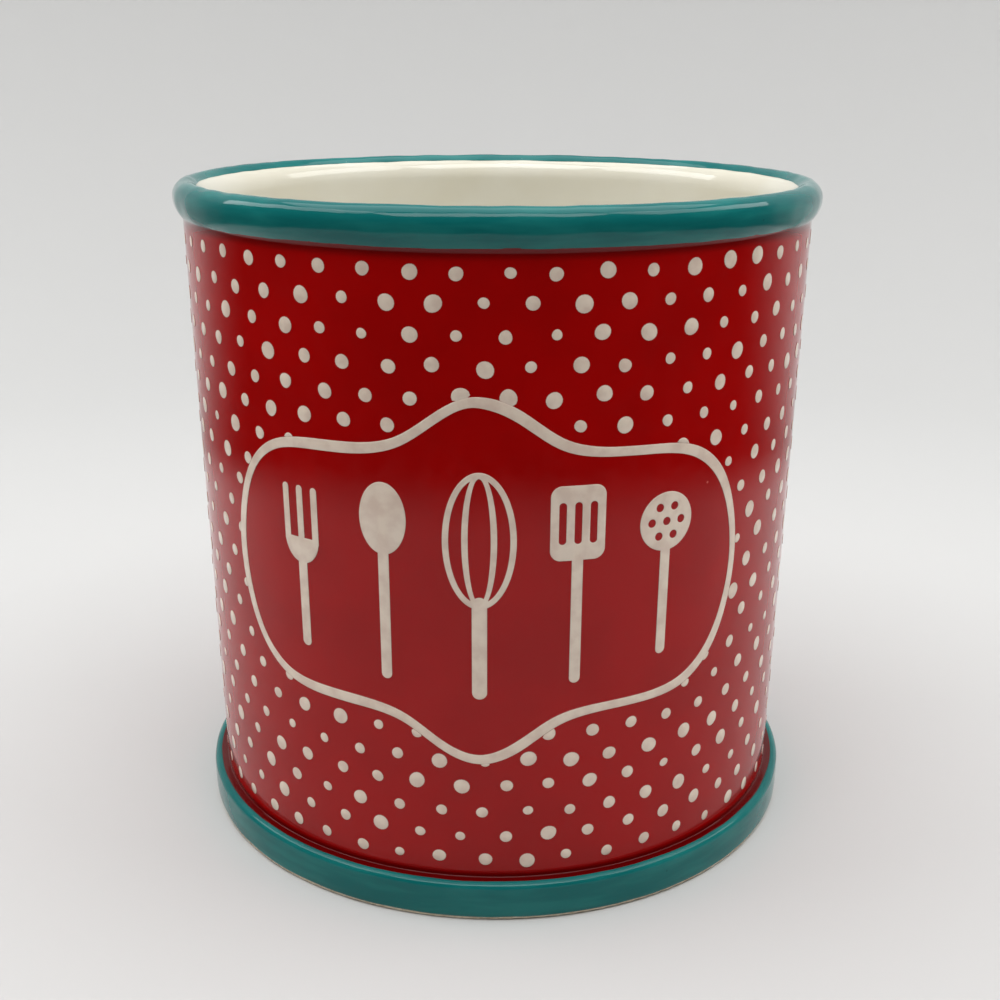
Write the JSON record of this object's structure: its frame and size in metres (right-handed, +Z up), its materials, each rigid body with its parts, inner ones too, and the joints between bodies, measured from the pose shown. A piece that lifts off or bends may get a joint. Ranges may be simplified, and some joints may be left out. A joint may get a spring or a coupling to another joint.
{
  "type": "utensil crock",
  "caption": "Round straight-sided ceramic utensil crock with a rolled rim, stepped foot, polka dot wall and a framed label panel.",
  "frame": {"origin": "centre of the crock's base, on the table plane", "axes": "+Z up along the crock's axis, the label panel faces -Y"},
  "size_m": [0.1692, 0.1692, 0.1728],
  "materials": {
    "clay": "bare fired clay, matte",
    "red_glaze": "glossy",
    "teal_glaze": "glossy",
    "cream_glaze": "glossy",
    "white_slip": "satin gloss"
  },
  "bodies": {
    "root": {"body_wall": "clay", "floor_disc": "clay", "foot_ring": "clay", "rim_roll": "clay", "liner_glaze": "cream_glaze", "underside_glaze": "cream_glaze", "red_glaze": "red_glaze", "rim_glaze": "teal_glaze", "foot_glaze": "teal_glaze", "dot_row_01": "white_slip", "dot_row_02": "white_slip", "dot_row_03": "white_slip", "dot_row_04": "white_slip", "dot_row_05": "white_slip", "dot_row_06": "white_slip", "dot_row_07": "white_slip", "dot_row_08": "white_slip", "dot_row_09": "white_slip", "dot_row_10": "white_slip", "dot_row_11": "white_slip", "dot_row_12": "white_slip", "dot_row_13": "white_slip", "dot_row_14": "white_slip", "dot_row_15": "white_slip", "dot_row_16": "white_slip", "dot_row_17": "white_slip", "dot_row_18": "white_slip", "dot_row_19": "white_slip", "dot_row_20": "white_slip", "dot_row_21": "white_slip", "dot_row_22": "white_slip", "label_frame": "white_slip", "motif_fork": "white_slip", "motif_spoon": "white_slip", "motif_whisk": "white_slip", "motif_turner": "white_slip", "motif_skimmer": "white_slip"}
  },
  "joints": []
}
